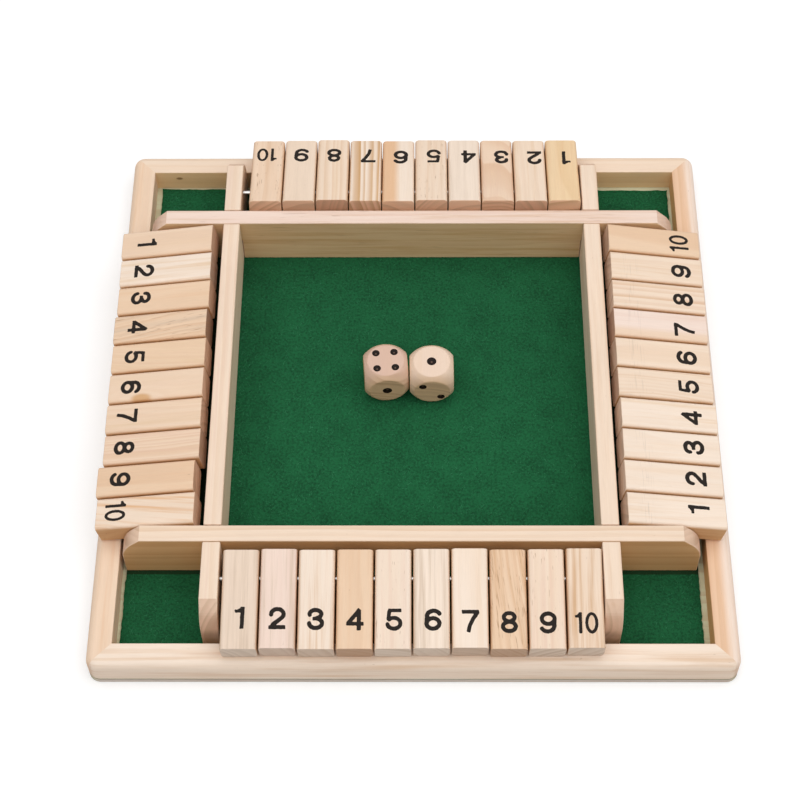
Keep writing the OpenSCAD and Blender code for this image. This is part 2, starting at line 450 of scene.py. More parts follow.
def pineMaterial(name, tone, cut, streak, **extra):
    material, tree, shader = newMaterial(name)
    wood = addNode(tree, "Group", node_tree=pineWood)
    early, late, end = woodTones[tone]
    looks = {"Early Wood": early, "Late Wood": late, "End Wood": end, "Streak Wood": streakTones[streak],
             "Side Shade And Tint": sideShade, **woodCuts[cut], **extra}
    setInputs(wood, {key: paint(look) if isinstance(look, str) else look for key, look in looks.items()})
    setInputs(shader, {
        "Base Color": wood.outputs["Color"], "Roughness": wood.outputs["Roughness"],
        "Normal": bumped(wood.outputs["Height"], *pine["bump"]), "Specular IOR Level": pine["gloss"]})
    return material


# meshes

def linkPiece(name, mesh, body, replaced=()):
    piece = newObject(name, mesh)
    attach(piece, body)
    if replaced:
        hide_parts(*replaced)
    return piece


def smooth(mesh, sharpest=35):
    mesh.polygons.foreach_set("use_smooth", [True] * len(mesh.polygons))
    mesh.set_sharp_from_angle(angle=math.radians(sharpest))


def noEdge(edge):
    return False


def asMesh(shape, name):
    mesh = bpy.data.meshes.new(name)
    shape.to_mesh(mesh)
    shape.free()
    return mesh


easing = {
    "weld": 0.002,              # points nearer than this are one
    "flat": 0.5,                # faces that differ less than this, in degrees, are one
    "sharpFrom": 32, "steps": 3, "wideSteps": 8,
}


def easeEdges(shape, edges, width, steps):
    bmesh.ops.bevel(shape, geom=edges, offset=width * mm, offset_type="OFFSET", segments=steps, profile=0.5,
                    affect="EDGES", clamp_overlap=True)


# a copy of a construction piece with its sharp edges eased, but for those that keepSharp picks;
# the edges that rounded picks get a wider curve first, and reshape may move points before that
def easedMesh(node, name, width, keepSharp=noEdge, rounded=noEdge, wide=0.0, reshape=None):
    shape = bmesh.new()
    shape.from_mesh(frame["nodes"][node].data)
    bmesh.ops.remove_doubles(shape, verts=shape.verts, dist=easing["weld"] * mm)
    flat = math.radians(easing["flat"])
    bmesh.ops.dissolve_limit(shape, angle_limit=flat, verts=shape.verts, edges=shape.edges)
    if reshape:
        reshape(shape)
    noses = [edge for edge in shape.edges if rounded(edge)]
    if noses:
        easeEdges(shape, noses, wide, easing["wideSteps"])
    sharp = math.radians(easing["sharpFrom"])
    easeEdges(shape, [edge for edge in shape.edges if len(edge.link_faces) == 2
                      and edge.calc_face_angle() > sharp and not keepSharp(edge)], width, easing["steps"])
    mesh = asMesh(shape, name)
    smooth(mesh)
    return mesh


def readRows(items, name):
    values = np.zeros(len(items) * 3)
    items.foreach_get(name, values)
    return values.reshape(-1, 3)


def writeValues(mesh, name, domain, values):
    mesh.attributes.new(name, "FLOAT", domain).data.foreach_set("value", values)


# what the wood shader reads: millimetres along, across and up from an origin, how squarely each face
# cuts the fibres, and how far each face looks one of the given sideways ways, which take painted side shade
def addGrain(mesh, origin, along, across, up, sideShadeAndTint=()):
    places = (readRows(mesh.vertices, "co") - np.array(origin)) @ np.array([along, across, up]).T / mm
    mesh.attributes.new("grain", "FLOAT_VECTOR", "POINT").data.foreach_set("vector", places.ravel())
    normals = readRows(mesh.polygons, "normal")
    facing = np.zeros(len(normals))
    for direction in sideShadeAndTint:
        facing = np.maximum(facing, normals @ np.array(direction))
    writeValues(mesh, "endGrain", "FACE", np.abs(normals @ np.array(along)))
    writeValues(mesh, "sideShadeAndTint", "FACE", facing ** sideShadeEdge)


def addWeightedNormals(piece):
    modifier = piece.modifiers.new("even shading", "WEIGHTED_NORMAL")
    modifier.keep_sharp = True


# base board, rails and dividers

frameWood = {
    "railEdge": 0.35, "dividerEdge": 0.45, "nose": 4.4, "rimEdge": 0.3, "endWood": "#d3ad92",
    # how far up a face looks, from 0 for a wall to 1 for a top
    "slope": (0.4, 0.9), "top": 0.99, "wall": 0.2,
    "noseFrom": 3,              # shorter edges aren't noses
    # a piece's own side colour, where given, is the painted shade on its walls; white leaves them unshaded
    "rail_front": ("cream", "straight", "brown", {"Seed": 3.1, "Streaks": 0.5}),
    "rail_right": ("tan", "straight", "orange", {
        "Seed": 4.1, "Early Wood": "#ecc6a6", "Heart Edge": 0.6, "Heart Wood": "#f5e0d0"}),
    "rail_back": ("pale", "straight", "soft", {
        "Seed": 5.1, "Knot Along": -89, "Knot Across": 1.2, "Knot Size": 0.8, "Side Shade And Tint": "#fff2d2"}),
    "rail_left": ("peach", "straight", "orange", {"Seed": 6.1, "Side Shade And Tint": "#ffffff"}),
    "divider_front": ("pale", "straight", "soft", {"Seed": 7.1, "Contrast": 0.5, "Side Shade And Tint": "#e0c59c"}),
    "divider_right": ("pale", "straight", "brown", {
        "Seed": 8.4, "Pith Across": 3, "Pith Up": -16, "Ring Width": 2.6, "Side Shade And Tint": "#ffffff"}),
    "divider_back": ("pink", "dashed", "brown", {
        "Seed": 9.1, "Dash Length": 9.0, "Dashes": 0.6, "Streaks": 0.6}),
    "divider_left": ("pale", "straight", "rose", {
        "Seed": 10.2, "Pith Across": -4, "Pith Up": 14, "Ring Width": 2.6, "Side Shade And Tint": "#fffff8"}),
}
inward = {
    "front": Vector((0, 1, 0)), "right": Vector((-1, 0, 0)),
    "back": Vector((0, -1, 0)), "left": Vector((1, 0, 0)),
}


def isSlope(tilt):
    low, high = frameWood["slope"]
    return low < tilt < high


def tiltsBeside(edge):
    return sorted(face.normal.z for face in edge.link_faces)


def onMitre(edge):
    return any(abs(abs(face.normal.x) - abs(face.normal.y)) < 0.02 and abs(face.normal.z) < 0.1
               for face in edge.link_faces)


# the creases at a divider's end: the sharp one where the slope leaves the top, and the level, round one
# where the slope meets the upright end
def onCrease(edge):
    tilts = tiltsBeside(edge)
    return isSlope(tilts[0]) and tilts[-1] > frameWood["top"]


def onNose(edge):
    level = abs(edge.verts[0].co.z - edge.verts[1].co.z) < 0.1 * mm
    long = edge.calc_length() > frameWood["noseFrom"] * mm
    tilts = tiltsBeside(edge)
    return level and long and abs(tilts[0]) < frameWood["wall"] and isSlope(tilts[-1])


# the short edges are the rims of the rod holes
def keptSharp(edge):
    return onMitre(edge) or onCrease(edge) or edge.calc_length() < frameWood["rimEdge"] * mm


def buildFrame():
    up = Vector((0, 0, 1))
    for row in rows:
        along = Vector((1, 0, 0)) if row in ("front", "back") else Vector((0, 1, 0))
        for kind in ("rail", "divider"):
            name = f"{kind}_{row}"
            tone, cut, streak, extra = frameWood[name]
            low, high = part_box(name)
            edge, nose = frameWood[kind + "Edge"], frameWood["nose"]
            mesh = easedMesh(name, name + "_wood", edge, keptSharp, onNose, nose)
            # painted shade on the faces that look into the tray, and on both faces of a divider
            sideShadeAndTint = [inward[row]] if kind == "rail" else [inward[row], -inward[row]]
            across = -inward[row] if "Heart Edge" in extra else up
            addGrain(mesh, (low + high) / 2, along, across, along.cross(across), sideShadeAndTint)
            extra = {"End Wood": frameWood["endWood"], **extra}
            mesh.materials.append(pineMaterial(name + "Pine", tone, cut, streak, **extra))
            addWeightedNormals(linkPiece(name + "_wood", mesh, "tray", [name]))


plywood = {
    "edge": 0.45, "plies": 3, "joint": 0.55, "footShadow": 0.5,       # millimetres, but for the plies
    # the face shade is painted shade, with a green cast from the felt, on the strip of the board's top
    # between felt and rails
    "face": "#f4ecd2", "faceShade": "#d9e1d6", "edgeTint": "#e0dcea",
    # the joint colour darkens the glue lines and the joint under the rails, and is also the painted contact
    # shadow along the bottom
    "jointAndShadowColor": "#4d3a2f", "glueDepth": 0.35, "glueEdge": (0.07, 0.0), "footShadowDepth": 0.7,
}


def buildBase():
    low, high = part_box("base_board")
    mesh = easedMesh("base_board", "base_plywood", plywood["edge"])
    addGrain(mesh, (0, 0, low.z), (1, 0, 0), (0, 1, 0), (0, 0, 1), inward.values())
    material = pineMaterial("plywood", "pale", "fine", "soft", **{
        "Early Wood": plywood["face"], "Side Shade And Tint": plywood["edgeTint"],
        "Pith Up": -400.0, "Pith Across": 60.0, "Seed": 40.5})
    tree = material.node_tree
    shader = tree.nodes["Principled BSDF"]
    wood = shader.inputs["Base Color"].links[0].from_socket
    height = split(readAttribute(tree, "grain", "Vector"))[2]
    thick = (high.z - low.z) / mm
    plies = calc("PINGPONG", times(height, plywood["plies"] / thick), 0.5)
    glue = times(rescale(plies, *plywood["glueEdge"]), plywood["glueDepth"])
    joint = rescale(height, thick - plywood["joint"], thick - plywood["joint"] / 2)
    # painted contact shadow along the bottom of the board's edges
    footShadow = times(rescale(height, plywood["footShadow"], 0.0), plywood["footShadowDepth"])
    lines = calc("MAXIMUM", glue, calc("MAXIMUM", joint, footShadow))
    onEdge = readAttribute(tree, "sideShadeAndTint", "Fac")
    # painted shade with the felt's green cast on the board's top; the edges keep their edge tint
    color = mixColor(onEdge, tinted(wood, paint(plywood["faceShade"])), wood)
    color = mixColor(times(lines, onEdge), color, paint(plywood["jointAndShadowColor"]))
    setInputs(shader, {"Base Color": color})
    mesh.materials.append(material)
    addWeightedNormals(linkPiece("base_plywood", mesh, "tray", ["base_board"]))


# tiles and their numbers

tileWood = {
    "edge": 0.25, "round": 1.4,
    "boreClear": 1.3,           # edges nearer the rod's middle than this stay sharp
    # the side colour is painted shade on the tile's sides, down in the gaps between tiles
    "sideShade": "#dabd98", "seed": 7, "pithSway": 4,
    # tone, cut, streaks and lightness of the ends (0 to 9), from number one to ten
    "front": ["grey streaky grey 9", "pink streaky grey 6", "cream streaky brown 6", "tan plain orange 0",
              "cream plain rose 9 cracked", "cream streaky grey 8", "cream plain soft 4",
              "tan slant brown 1", "pale dashed rose 8", "pale streaky brown 8"],
    "right": ["cream streaky soft 7 sawn", "cream plain soft 9 sawn", "cream plain soft 7 sawn",
              "cream streaky soft 9", "pale fine soft 2 sawn", "pale plain soft 6 sawn",
              "peach plain rose 0 sawn banded", "pale striped rose 9 sawn", "pale streaky soft 7 sawn",
              "tan plain soft 6"],
    "back": ["honey plain orange 9", "pale streaky soft 2", "peach vee rose 5", "cream plain grey 7",
             "pale dashed brown 5", "cream plain soft 6 halved", "cream striped soft 5 bold",
             "pale striped soft 0 faint", "pale plain grey 6", "peach dashed brown 7"],
    "left": ["peach plain soft 6", "cream streaky soft 2", "tan plain orange 5", "tan slant grey 0",
             "tan streaky soft 8 leaning", "peach plain soft 9 knotted", "peach streaky soft 7",
             "peach fine rose 2", "tan plain orange 9", "pale streaky orange 8 leaning"],
}
tileExtras = {
    "sawn": {"Saw Marks": 1.2, "Saw Place": -2.6},
    "cracked": {"Dashes": 0.7, "Dash Length": 3.0},
    "halved": {"Heart Edge": 0.5, "Heart Wood": "#e8be98"},
    "banded": {"Heart Edge": -2.6, "Heart Wood": "#f6e0d2"},
    "bold": {"Late Wood": "#cb9c68", "Ring Width": 2.7, "Contrast": 0.95},
    "faint": {"Contrast": 0.6},
    "knotted": {"Knot Along": 12.5, "Knot Across": 5.2, "Knot Size": 2.3, "Knot Wood": "#d09c62"},
    "leaning": {"Drift": 0.15, "Streaks": 0.95},
}
# the ends of each row lie between two colours: end grain with painted shade and light that differ from row
# to row, as the rows' ends face the light differently
endGrainAndShade = {
    "front": ("#b8967c", "#dccab9"), "right": ("#ba9278", "#e4c8b0"),
    "back": ("#d09e7e", "#f3c7a4"), "left": ("#966f58", "#ddb293"),
}


# a tile's own directions, worked out from its hinge and its flat top, and how far its faces lie
# from the rod
def tileFrame(row, number):
    data = frame["nodes"][f"tile_{row}_{number}"].data
    joint = joints[f"flip_{row}_{number}"]
    pivot, axis = Vector(joint["pos_m"]), Vector(joint["axis"])
    tops = [face for face in data.polygons if face.normal.z > 0.5 and abs(face.normal.dot(axis)) < 0.1]
    up = max(tops, key=lambda face: face.area).normal.copy()
    across = -axis
    along = across.cross(up)
    offsets = [vertex.co - pivot for vertex in data.vertices]
    half = max(abs(offset.dot(across)) for offset in offsets)
    flat = max(abs(offsets[index].dot(across)) for face in tops if face.normal.dot(up) > 0.999
               for index in face.vertices)
    return {"pivot": pivot, "along": along, "across": across, "up": up,
            "inner": min(offset.dot(along) for offset in offsets),
            "top": max(offset.dot(up) for offset in offsets), "half": half, "curve": half - flat}


numbers = {
    "middle": 23.35,                # from the tile's inner end to the middle of its number
    # every number sits a little off that place, millimetres outward and across
    "frontOut": [-0.2, 0.2, 0.2, 0.4, 0.5, 0.7, 1.3, 1.3, 1.5, 1.9],
    "frontAcross": [0.6, 0.0, 0.0, 0.2, 0.3, 0.4, 0.1, 0.1, 0.2, 0.1],
    "rightOut": [0.9, 1.0, 1.1, 1.2, 1.6, 1.8, 1.9, 2.2, 2.4, 2.7],
    "rightAcross": [1.0, 0.1, 0.0, -0.6, -0.4, -0.8, -1.4, -0.6, -0.5, -0.5],
    "backOut": [0.2, 0.4, 0.8, 0.8, 1.1, 1.0, 1.5, 1.4, 1.9, 2.3],
    "backAcross": [-1.3, -2.0, -1.8, -1.8, -1.0, -0.9, -0.9, -0.3, -0.2, 0.5],
    "leftOut": [0.8, 1.3, 1.8, 1.6, 2.0, 2.3, 2.8, 3.1, 2.2, 3.6],
    "leftAcross": [0.2, 0.1, -0.3, -0.3, 0.0, 0.2, -0.4, -0.1, -0.1, -0.4],
    "thickness": 0.035, "sink": 0.04,
    # the outline is traced on a grid of cells that reaches so far each way; bleed rounds its corners
    "cell": 0.08, "reach": (4.8, 4.4), "bleed": 0.14, "ragged": 0.07, "raggedCells": 2.5, "pen": 0.97,
    "color": "#1d1713", "worn": "#40342c", "grain": (0.9, 2.6, 2.6), "wear": (0.5, 0.85),
    "roughness": (0.55, 0.8), "gloss": 0.15, "bump": (0.3, 0.03),
    # width and height of the single digits in each row
    "size": {"front": (0.96, 0.99), "right": (0.95, 0.99), "back": (0.94, 0.98), "left": (0.93, 0.98)},
}
# each digit as pen strokes in millimetres round its middle: pen width, then arcs and lines
digitStrokes = {
    "1": [(1.4, "line", (0.65, 3.75), (0.5, -3.75)), (1.05, "line", (-2.0, 2.25), (0.6, 2.25)),
          (0.9, "line", (-1.0, 2.35), (0.3, 3.1))],
    "2": [(1.5, "arc", 0.05, 1.35, 2.1, 1.69, 188, -38),
          (1.5, "line", (1.7, 0.31), (0.55, -0.7), (-1.1, -1.85), (-1.85, -2.9)),
          (1.42, "line", (-2.85, -3.07), (2.85, -3.07))],
    "3": [(1.5, "arc", -0.1, 1.66, 1.95, 1.36, 196, -80), (1.3, "line", (-1.1, 0.12), (0.6, 0.12)),
          (1.5, "arc", -0.02, -1.43, 2.15, 1.6, 82, -186)],
    "4": [(1.48, "line", (1.3, 3.2), (1.3, -3.75)), (1.35, "line", (-2.9, -1.5), (2.9, -1.5)),
          (1.42, "line", (1.62, 3.45), (-2.25, -1.3))],
    "5": [(1.25, "line", (-1.95, 3.12), (2.5, 3.12)), (1.3, "line", (-1.5, 3.2), (-1.9, -0.2)),
          (1.4, "arc", 0.0, -1.24, 2.18, 1.81, 142, -178)],
    "6": [(1.5, "arc", 0.03, -1.25, 2.15, 1.75, 0, 360), (1.5, "arc", 0.25, 1.2, 2.2, 1.8, 24, 182),
          (1.5, "line", (-1.95, 1.25), (-2.12, -1.3))],
    "7": [(1.3, "line", (-2.9, 3.1), (2.9, 3.1)),
          (1.4, "line", (2.4, 2.95), (0.95, 0.9), (-0.25, -1.5), (-0.75, -3.75))],
    "8": [(1.42, "arc", 0.0, 1.66, 1.8, 1.4, 0, 360), (1.45, "arc", 0.0, -1.47, 2.15, 1.55, 0, 360)],
    "9": [(1.45, "arc", -0.03, 1.25, 2.15, 1.75, 0, 360), (1.45, "arc", -0.25, -1.2, 2.2, 1.8, 204, 362),
          (1.45, "line", (1.95, -1.25), (2.12, 1.3))],
    "10": [(1.05, "line", (-2.0, 3.57), (-2.0, -3.57)), (0.9, "line", (-3.75, 2.15), (-2.1, 2.15)),
           (0.75, "line", (-2.95, 2.3), (-2.3, 3.0)), (1.05, "arc", 1.62, 0.0, 1.6, 3.05, 0, 360)],
}


def strokePoints(kind, *values):
    if kind == "line":
        return np.array(values, float)
    centreX, centreY, radiusX, radiusY, start, end = values
    steps = 49
    angles = np.radians(np.linspace(start, end, steps))
    return np.stack([centreX + radiusX * np.cos(angles), centreY + radiusY * np.sin(angles)], 1)


# how near each point is to a pen line with square ends
def strokeDistance(x, y, points):
    outside = 99.0
    nearest = np.full(x.shape, outside)
    last = len(points) - 2
    closed = np.allclose(points[0], points[-1])
    for index, (start, end) in enumerate(zip(points[:-1], points[1:])):
        step = end - start
        t = ((x - start[0]) * step[0] + (y - start[1]) * step[1]) / (step @ step)
        clamped = np.clip(t, 0, 1)
        distance = np.hypot(x - start[0] - clamped * step[0], y - start[1] - clamped * step[1])
        if index == 0 and not closed:
            distance[t < 0] = outside
        if index == last and not closed:
            distance[t > 1] = outside
        nearest = np.minimum(nearest, distance)
    return nearest


def blurred(field, sigma):
    for axis in (0, 1):
        places = np.arange(field.shape[axis])
        weights = np.exp(-0.5 * ((places[:, None] - places[None, :]) / sigma) ** 2)
        weights /= weights.sum(1, keepdims=True)
        field = np.moveaxis(np.tensordot(weights, field, (1, axis)), 0, axis)
    return field


# outline of a digit as flat faces: the part of each grid cell that lies inside the paint
def digitFaces(text, seed):
    cell = numbers["cell"]
    columns, lines = (np.arange(-reach, reach, cell) for reach in numbers["reach"])
    x, y = np.meshgrid(columns, lines, indexing="ij")
    inside = np.zeros(x.shape)
    for width, *stroke in digitStrokes[text]:
        drawn = strokeDistance(x, y, strokePoints(*stroke)) <= width * numbers["pen"] / 2
        inside = np.maximum(inside, drawn)
    rough = blurred(np.random.default_rng(seed).standard_normal(x.shape), numbers["raggedCells"])
    field = blurred(inside, numbers["bleed"] / cell) - 0.5 + rough / rough.std() * numbers["ragged"]
    points, faces, known = [], [], {}

    def corner(key, place):
        if key not in known:
            known[key] = len(points)
            points.append(place)
        return known[key]

    positive = field > 0
    cells = positive[:-1, :-1] | positive[1:, :-1] | positive[1:, 1:] | positive[:-1, 1:]
    for i, j in zip(*np.nonzero(cells)):
        ring = [(i, j), (i + 1, j), (i + 1, j + 1), (i, j + 1)]
        face = []
        for here, there in zip(ring, ring[1:] + ring[:1]):
            a, b = field[here], field[there]
            if a > 0:
                face.append(corner(here, (columns[here[0]], lines[here[1]])))
            if (a > 0) != (b > 0):
                t = a / (a - b)
                place = (columns[here[0]] + t * (columns[there[0]] - columns[here[0]]),
                         lines[here[1]] + t * (lines[there[1]] - lines[here[1]]))
                face.append(corner(tuple(sorted((here, there))), place))
        if len(face) > 2:
            faces.append(face)
    return points, faces


def makeNumberPaint():
    material, tree, shader = newMaterial("numberPaint")
    thin = drawnNoise(readAttribute(tree, "grain", "Vector"), numbers["grain"], 4.0, 0.65).outputs[0]
    setInputs(shader, {
        "Base Color": wornColor(thin, numbers), "Roughness": rescale(thin, 0.2, 0.8, *numbers["roughness"]),
        "Normal": bumped(thin, *numbers["bump"]), "Specular IOR Level": numbers["gloss"]})
    return material


def buildNumber(row, number, place, material):
    seed = rows.index(row) * 20 + number
    points, faces = digitFaces(str(number), seed)
    middle = place["inner"] + (numbers["middle"] + numbers[row + "Out"][number - 1]) * mm
    shift = numbers[row + "Across"][number - 1]
    deep = place["top"] - numbers["sink"] * mm
    width, height = numbers["size"][row] if number < 10 else (1, 1)
    bend = tileWood["round"] * mm
    shape = bmesh.new()
    lower = []
    for x, y in points:
        sideways = (x * width + shift) * mm
        beyond = min(max(abs(sideways) - place["half"] + bend, 0), bend)
        drop = bend - math.sqrt(bend ** 2 - beyond ** 2)
        lower.append(shape.verts.new(place["pivot"] + place["along"] * (middle - y * height * mm)
                                     + place["across"] * sideways + place["up"] * (deep - drop)))
    for face in faces:
        shape.faces.new([lower[index] for index in face])
    bmesh.ops.dissolve_limit(shape, angle_limit=math.radians(1), verts=shape.verts, edges=shape.edges)
    raised = bmesh.ops.extrude_face_region(shape, geom=shape.faces[:])["geom"]
    rise = (numbers["thickness"] + numbers["sink"]) * mm
    bmesh.ops.translate(shape, verts=[item for item in raised if isinstance(item, bmesh.types.BMVert)],
                        vec=place["up"] * rise)
    bmesh.ops.recalc_face_normals(shape, faces=shape.faces)
    mesh = asMesh(shape, f"number_{row}_{number}")
    addGrain(mesh, place["pivot"], place["along"], place["across"], place["up"])
    mesh.materials.append(material)
    linkPiece(mesh.name, mesh, f"tile_{row}_{number}")


def buildTile(row, number, place, draw):
    def nearRod(edge):
        offsets = [vertex.co - place["pivot"] for vertex in edge.verts]
        sideways = [(offset - place["across"] * offset.dot(place["across"])).length for offset in offsets]
        return max(sideways) < tileWood["boreClear"] * mm

    # draws the curve along the four long edges in to a smaller radius
    def tighten(shape):
        wide, small, tiny = place["curve"], tileWood["round"] * mm, 0.005 * mm
        for vertex in shape.verts:
            offset = vertex.co - place["pivot"]
            sides = [offset.dot(place["across"]), offset.dot(place["up"])]
            limits = [place["half"], place["top"]]
            beyond = [abs(side) - limit + wide for side, limit in zip(sides, limits)]
            if min(beyond) > -tiny:
                reach = math.hypot(*beyond)
                for axis, side, limit, past in zip(("across", "up"), sides, limits, beyond):
                    target = limit - small + small * past / reach
                    vertex.co += place[axis] * (math.copysign(target, side) - side)

    name = f"tile_{row}_{number}"
    tone, cut, streak, light, *extras = tileWood[row][number - 1].split()
    settings = {"Seed": draw.uniform(0, 60), "Side Shade And Tint": tileWood["sideShade"]}
    first, last = (np.array(paint(code)) for code in endGrainAndShade[row])
    # end grain colour with the row's painted shade
    settings["End Wood"] = first + (last - first) * int(light) / 9
    side, sway = draw.choice((-1, 1)), tileWood["pithSway"]
    settings["Pith Across"] = woodCuts[cut]["Pith Across"] * side + draw.uniform(-sway, sway)
    for word in extras:
        settings.update(tileExtras[word])
    mesh = easedMesh(name, name + "_wood", tileWood["edge"], nearRod, reshape=tighten)
    # painted shade on the tile's two sides
    sideShadeAndTint = [place["across"], -place["across"]]
    addGrain(mesh, place["pivot"], place["along"], place["across"], place["up"], sideShadeAndTint)
    mesh.materials.append(pineMaterial(name + "Pine", tone, cut, streak, **settings))
    addWeightedNormals(linkPiece(name + "_wood", mesh, name, [name]))


def buildTiles():
    draw = random.Random(tileWood["seed"])
    numberPaint = makeNumberPaint()
    for row in rows:
        for number in range(1, 11):
            place = tileFrame(row, number)
            buildTile(row, number, place, draw)
            buildNumber(row, number, place, numberPaint)
        print("tiles and numbers:", row)


# rods

wire = {"color": "#d0cfcd", "worn": "#96928c", "wear": (0.3, 0.8), "drawn": 9.0, "roughness": (0.18, 0.42)}


def dressRods():
    material, tree, shader = newMaterial("drawnWire")
    place = addNode(tree, "TexCoord").outputs["Object"]
    lines = drawnNoise(place, (wire["drawn"] / mm,) * 3, 3.0, 0.6).outputs[0]
    setInputs(shader, {
        "Base Color": wornColor(lines, wire), "Metallic": 1.0,
        "Roughness": rescale(lines, 0.2, 0.8, *wire["roughness"])})
    for row in rows:
        node = frame["nodes"]["rod_" + row]
        node.data.materials.clear()
        node.data.materials.append(material)


# felt

felt = {
    "cells": 150, "wave": 0.05, "wavePace": 90, "round": 0.25, "fray": 0.35, "frayPace": 700, "sink": 0.04,
    "color": "#1f623c", "light": "#3f8961", "deep": "#16472b", "hairColor": "#529b74",
    "underRowsShade": "#1d2a17", "rowReach": 68.5, "underRowsShadeDepth": 0.8,      # painted shade darkens the cloth below the rows
    "wellShade": 0.87,                          # painted shade of the four corner wells
    # painted shade in the tray, darker toward the back and the left wall: from the first place to the
    # second it goes from one shade to the other
    "shadeBack": (-20, 62, 1.0, 0.9), "shadeLeft": (-62, -35, 0.92, 1.0),
    "tuft": (1.1, 1.1, 1.1), "cloud": (0.1, 0.1, 0.1), "curl": (0.6, 0.6, 0.6), "curlBend": 2.5,
    "hairOne": (3.6, 0.7, 1.0), "hairTwo": (0.7, 3.8, 1.0), "cloudShare": 0.25, "tuftShare": 0.75,
    "depthEdge": (0.36, 0.6), "hairEdge": (0.56, 0.8, 0.0, 0.5), "tuftHeight": 0.6,
    "roughness": 0.95, "gloss": 0.1, "sheen": 0.12, "sheenRoughness": 0.5, "bump": (0.5, 0.12),
    "fibres": 5200, "fibreArea": 0.985, "fibreLength": (0.5, 2.4), "fibreWidth": 0.05,
    "fibreCurl": 1.6, "fibreLift": (0.04, 0.2), "fibreRings": 6, "seed": 3,
    "lint": 420, "lintWidth": 5.0,          # loose fluff along the left wall of the tray
}


def makeFelt(name, color, deep, light):
    material, tree, shader = newMaterial(name)
    grain = readAttribute(tree, "grain", "Vector")
    cloud = drawnNoise(grain, felt["cloud"], 3.0, 0.6).outputs[0]
    tuft = drawnNoise(grain, felt["tuft"], 4.0, 0.7).outputs[0]
    curl = drawnNoise(grain, felt["curl"]).outputs[1]
    bent = feedNode("VectorMath", {0: curl, "Scale": felt["curlBend"]}, operation="SCALE").outputs[0]
    curled = vectorCalc("ADD", grain, bent)
    hairs = [drawnNoise(curled, felt[way], 3.0, 0.7).outputs[0] for way in ("hairOne", "hairTwo")]
    hair = calc("MAXIMUM", *hairs)
    depth = plus(times(cloud, felt["cloudShare"]), times(tuft, felt["tuftShare"]))
    cloth = mixColor(rescale(depth, *felt["depthEdge"]), paint(deep), paint(color))
    cloth = mixColor(rescale(hair, *felt["hairEdge"]), cloth, paint(light))
    place = split(grain)
    near = [calc("LESS_THAN", calc("ABSOLUTE", side), felt["rowReach"]) for side in place[:2]]
    # painted shade below the rows of tiles
    shadedBelowRows = calc("ABSOLUTE", minus(*near))
    cloth = mixColor(times(shadedBelowRows, felt["underRowsShadeDepth"]), cloth, paint(felt["underRowsShade"]))
    # painted shade in the tray and in the corner wells
    trayShade = times(rescale(place[1], *felt["shadeBack"]), rescale(place[0], *felt["shadeLeft"]))
    trayShade = feedNode("Mix", {0: times(*near), 2: felt["wellShade"], 3: trayShade}).outputs[0]
    height = plus(hair, times(tuft, felt["tuftHeight"]))
    setInputs(shader, {
        "Base Color": shaded(cloth, trayShade), "Normal": bumped(height, *felt["bump"]),
        "Roughness": felt["roughness"], "Specular IOR Level": felt["gloss"], "Sheen Weight": felt["sheen"],
        "Sheen Roughness": felt["sheenRoughness"], "Sheen Tint": paint(light)})
    return material


# middle, half width and turn of the square top of the sheet
def feltSquare():
    low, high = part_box("felt_sheet")
    vertices = frame["nodes"]["felt_sheet"].data.vertices
    top = [vertex.co.xy for vertex in vertices if vertex.co.z > (low.z + high.z) / 2]
    frontLeft = min(top, key=lambda corner: corner.x + corner.y)
    frontRight = max(top, key=lambda corner: corner.x - corner.y)
    backRight = max(top, key=lambda corner: corner.x + corner.y)
    side = frontRight - frontLeft
    return (frontLeft + backRight) / 2, side.length / 2, math.atan2(side.y, side.x)


def feltHeight(x, y):
    return noise.noise(Vector((x, y, 0)) * felt["wavePace"]) * felt["wave"] * mm


def feltCloth(middle, half, turn, low, top):
    turning = Matrix.Rotation(turn, 2)
    count = felt["cells"]
    ends = np.linspace(-half, half, count + 1)
    shape = bmesh.new()
    grid = {}
    for i, u in enumerate(ends):
        for j, v in enumerate(ends):
            place = Vector((u, v))
            height = top + feltHeight(u, v)
            out = Vector(((i == count) - (i == 0), (j == count) - (j == 0)))
            if out.length:
                ragged = noise.noise(Vector((u, v, 3)) * felt["frayPace"]) - 1
                place += out.normalized() * ragged * felt["fray"] * mm
                height -= felt["round"] * mm
            x, y = turning @ place + middle
            grid[i, j] = shape.verts.new((x, y, height))
    for i in range(count):
        for j in range(count):
            shape.faces.new([grid[i, j], grid[i + 1, j], grid[i + 1, j + 1], grid[i, j + 1]])
    rim = [grid[i, 0] for i in range(count)] + [grid[count, j] for j in range(count)] \
        + [grid[i, count] for i in range(count, 0, -1)] + [grid[0, j] for j in range(count, 0, -1)]
    lower = [shape.verts.new((vertex.co.x, vertex.co.y, low)) for vertex in rim]
    for index in range(len(rim)):
        following = (index + 1) % len(rim)
        shape.faces.new([rim[index], lower[index], lower[following], rim[following]])
    shape.faces.new(lower[::-1])
    bmesh.ops.recalc_face_normals(shape, faces=shape.faces)
    mesh = asMesh(shape, "felt_cloth")
    smooth(mesh, sharpest=60)
    return mesh


